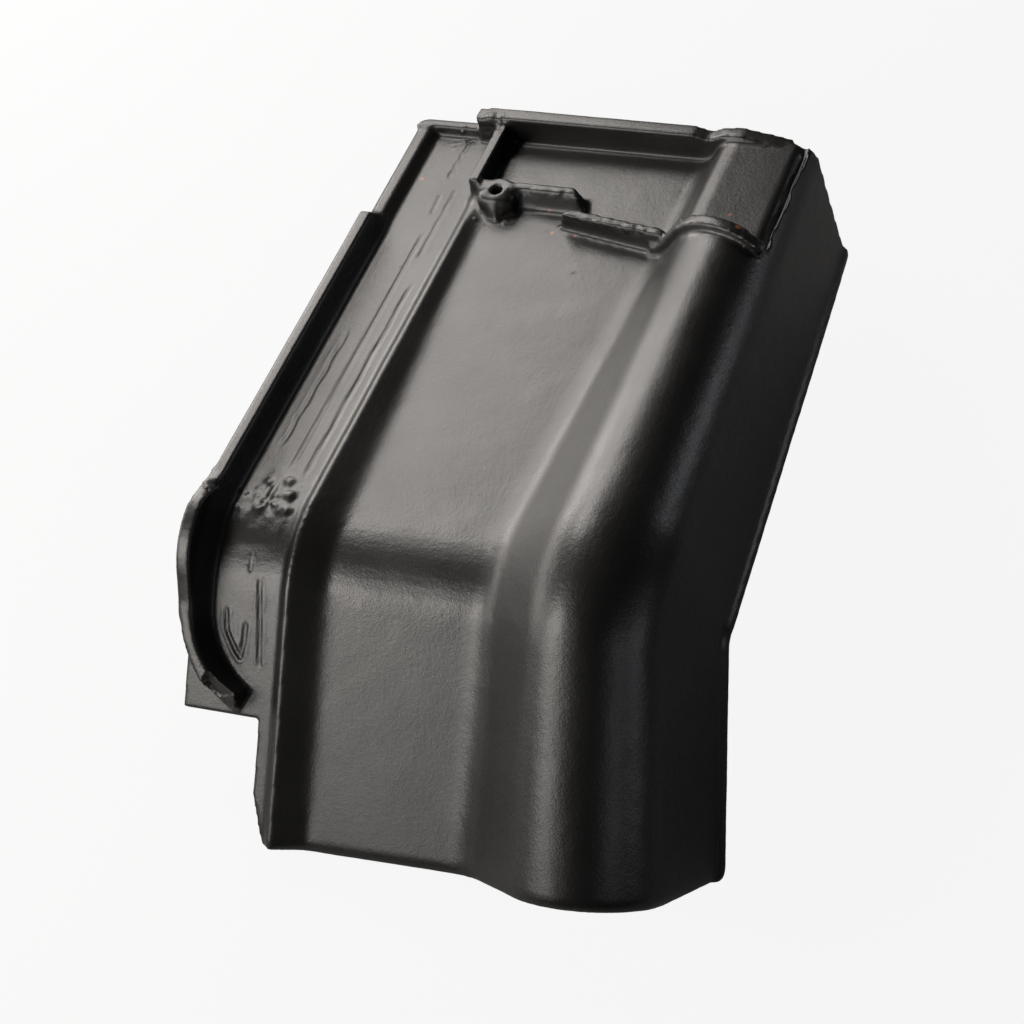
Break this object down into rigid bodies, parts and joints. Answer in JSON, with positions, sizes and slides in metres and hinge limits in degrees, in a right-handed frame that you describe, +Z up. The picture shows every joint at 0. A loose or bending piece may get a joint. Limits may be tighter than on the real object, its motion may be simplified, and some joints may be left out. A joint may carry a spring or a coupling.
{
  "type": "verge tile",
  "caption": "Right-hand knee verge tile in fired clay for a mansard bend, with side channel, pan, roll, deep verge flap, double head lock and nail hole.",
  "frame": {"origin": "on the floor, under the middle of the tile's outline as it lies", "axes": "+Z up, with the tile lying at rest; +X across the tail edge towards the verge flap; +Y up the roof slope towards the head"},
  "size_m": [0.3234, 0.475, 0.1631],
  "materials": {
    "clay": "satin black engobe with a fine grain, a few red clay specks at chipped edges"
  },
  "bodies": {
    "root": {"verge_tile": "clay"}
  },
  "joints": []
}
